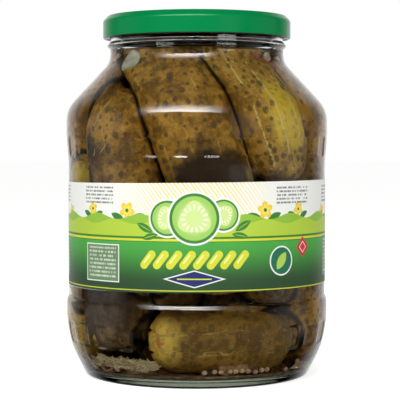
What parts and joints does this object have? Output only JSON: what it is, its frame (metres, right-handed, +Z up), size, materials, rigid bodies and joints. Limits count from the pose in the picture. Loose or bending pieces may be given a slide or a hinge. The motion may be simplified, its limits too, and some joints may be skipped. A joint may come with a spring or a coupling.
{
  "type": "jar of pickled gherkins",
  "caption": "Wide-mouth preserving jar of whole gherkins in spiced brine, with a twist-off steel lid and a wrap-round paper label.",
  "frame": {"origin": "centre of the foot ring, on the surface that the jar stands on", "axes": "+Z up along the jar's axis, -Y towards the front of the label, +X to the label's right"},
  "size_m": [0.13, 0.13, 0.1782],
  "materials": {
    "jar_glass": "clear, polished",
    "lid_enamel": "satin enamel on steel sheet",
    "label_paper": "coated, slightly glossy print",
    "brine": "clear amber liquid"
  },
  "bodies": {
    "root": {"jar": "jar_glass", "lid": "lid_enamel", "label": "label_paper", "brine": "brine"}
  },
  "joints": []
}
